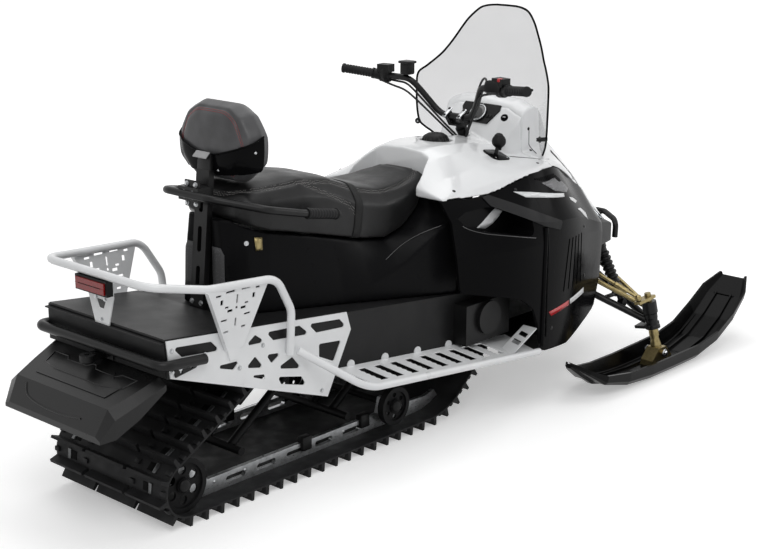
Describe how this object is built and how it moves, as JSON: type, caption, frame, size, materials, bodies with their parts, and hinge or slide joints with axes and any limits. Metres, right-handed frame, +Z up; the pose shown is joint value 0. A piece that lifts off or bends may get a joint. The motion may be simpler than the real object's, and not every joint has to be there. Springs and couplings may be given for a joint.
{
  "type": "snowmobile",
  "caption": "Two-seat utility snowmobile: wide lugged rubber track under a tunnel, long seat with backrest, rear load rack, clear windshield, handlebar and two steered skis.",
  "frame": {"origin": "on the ground, under the middle of the bounding box", "axes": "+X forward along the machine, +Y to the rider's left, +Z up"},
  "size_m": [3.172, 1.234, 1.4512],
  "materials": {
    "track_rubber": "moulded black rubber",
    "wheel_rubber": "black rubber on plastic",
    "dark_plastic": "grained black plastic",
    "rail_silver": "extruded, clear anodised",
    "dark_steel": "black paint",
    "dark_alloy": "dark grey paint",
    "white_paint": "white paint",
    "deck_grey": "dark grey textured paint",
    "lamp_red": "red lens",
    "black_paint": "satin black paint",
    "flap_rubber": "moulded flexible black plastic",
    "seat_leather": "black coated cover with stitched seams",
    "grip_rubber": "ribbed black rubber",
    "white_gloss": "glossy white",
    "black_gloss": "glossy black",
    "engine_alloy": "cast, plain",
    "lamp_clear": "clear lens over a bright reflector",
    "clear_screen": "clear moulded screen",
    "bright_alloy": "brushed, silver",
    "zinc_gold": "yellow zinc plate",
    "ski_plastic": "moulded black plastic"
  },
  "bodies": {
    "chassis": {"backrest_cushion": "seat_leather", "backrest_post": "black_paint", "backrest_shell": "dark_plastic", "belly_pan": "dark_plastic", "cargo_deck": "deck_grey", "console": "white_gloss", "dash_pod": "dark_plastic", "drive_case": "dark_plastic", "drive_sprockets": "dark_plastic", "engine": "engine_alloy", "front_bumper": "black_paint", "fuel_cap": "dark_plastic", "gear_lever": "dark_plastic", "grab_grips": "grip_rubber", "grab_rail": "black_paint", "headlamps": "lamp_clear", "hitch": "black_paint", "hood": "white_gloss", "knuckles": "black_paint", "lower_arms": "black_paint", "nose": "dark_plastic", "panel_latches": "grip_rubber", "rack_hoop": "white_paint", "rail_clamp": "black_paint", "rails": "rail_silver", "rear_bumper": "black_paint", "running_boards": "white_paint", "seat": "seat_leather", "seat_base": "dark_plastic", "shocks": "black_paint", "side_panels": "black_gloss", "side_plates": "white_paint", "snow_flap": "flap_rubber", "suspension_arms": "dark_steel", "tail_bracket": "white_paint", "tail_housing": "dark_plastic", "tail_lamp": "lamp_red", "track": "track_rubber", "track_wheels": "wheel_rubber", "tunnel": "dark_alloy", "tunnel_end_plate": "dark_alloy", "upper_arms": "zinc_gold", "vent_panels": "black_gloss", "windshield": "clear_screen"},
    "steering_bars": {"handlebar": "black_paint", "bar_grips": "grip_rubber", "hand_controls": "dark_plastic", "steering_riser": "bright_alloy"},
    "ski_set_left": {"ski_left": "ski_plastic", "kingpin_left": "zinc_gold"},
    "ski_set_right": {"ski_right": "ski_plastic", "kingpin_right": "zinc_gold"},
    "rod_left": {"tie_rod_left": "zinc_gold"},
    "rod_right": {"tie_rod_right": "zinc_gold"}
  },
  "joints": [
    {"name": "handlebar_turn", "type": "hinge", "parent": "chassis", "child": "steering_bars", "pos_m": [0.299, 0, 1.052], "axis": [-0.5736, 0, 0.8192], "range_deg": [-35, 35]},
    {"name": "ski_left_turn", "type": "hinge", "parent": "chassis", "child": "ski_set_left", "pos_m": [0.995, 0.505, 0.07], "axis": [-0.1045, -0.1736, 0.9792], "range_deg": [-28, 28]},
    {"name": "ski_right_turn", "type": "hinge", "parent": "chassis", "child": "ski_set_right", "pos_m": [0.995, -0.505, 0.07], "axis": [-0.1045, 0.1736, 0.9792], "range_deg": [-28, 28]},
    {"name": "rod_left_shift", "type": "slide", "parent": "chassis", "child": "rod_left", "axis": [0.0184, -0.9848, -0.1727], "range_m": [-0.0326, 0.0326]},
    {"name": "rod_right_shift", "type": "slide", "parent": "chassis", "child": "rod_right", "axis": [-0.0184, -0.9848, 0.1727], "range_m": [-0.0326, 0.0326]}
  ],
  "couplings": [
    {"joint": "ski_left_turn", "follows": "handlebar_turn", "ratio": 0.8},
    {"joint": "ski_right_turn", "follows": "handlebar_turn", "ratio": 0.8},
    {"joint": "rod_left_shift", "follows": "handlebar_turn", "m_per_rad": 0.0528},
    {"joint": "rod_right_shift", "follows": "handlebar_turn", "m_per_rad": 0.0528}
  ]
}
